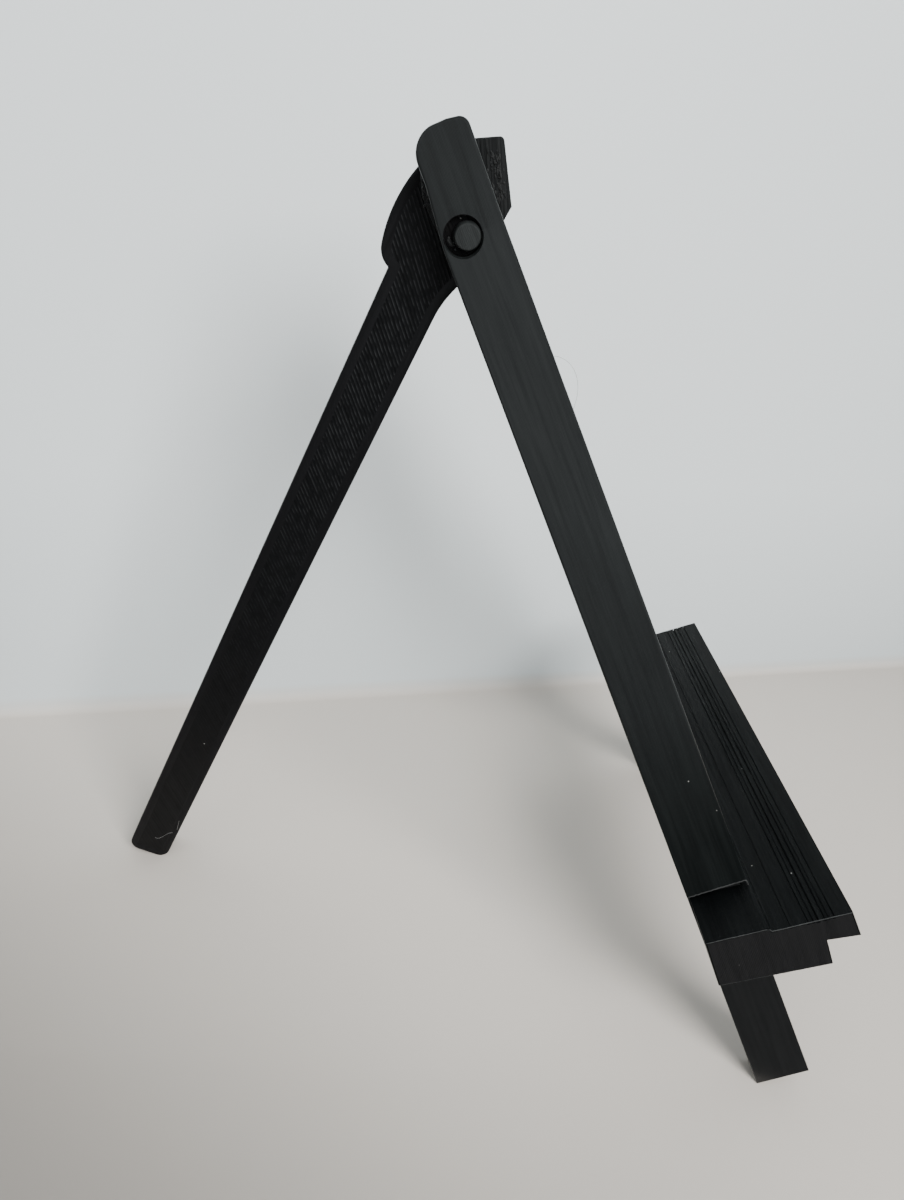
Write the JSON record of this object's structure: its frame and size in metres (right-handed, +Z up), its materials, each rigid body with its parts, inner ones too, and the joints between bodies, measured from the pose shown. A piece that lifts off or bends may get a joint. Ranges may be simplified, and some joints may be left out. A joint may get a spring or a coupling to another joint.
{
  "type": "photo album stand",
  "caption": "Folding printed easel: splayed front legs carry a stepped shelf, and a rear leg swings on a pin at the top and folds in behind.",
  "frame": {"origin": "on the floor, in the middle of the stand's footprint", "axes": "+X towards the front of the stand, +Y along the hinge pin towards the right leg, +Z up"},
  "size_m": [0.2208, 0.152, 0.2405],
  "materials": {
    "frame_plastic": "satin",
    "shelf_plastic": "satin",
    "rear_plastic": "satin"
  },
  "bodies": {
    "front_frame": {"left_leg": "frame_plastic", "right_leg": "frame_plastic", "shelf": "shelf_plastic", "hinge_block": "frame_plastic", "hinge_pin": "frame_plastic", "pin_cap": "frame_plastic"},
    "rear_strut": {"rear_leg": "rear_plastic"}
  },
  "joints": [
    {"name": "rear_leg_fold", "type": "hinge", "parent": "front_frame", "child": "rear_strut", "pos_m": [-0.02178, 0, 0.21687], "axis": [0, -1, 0], "range_deg": [0, 47]}
  ]
}
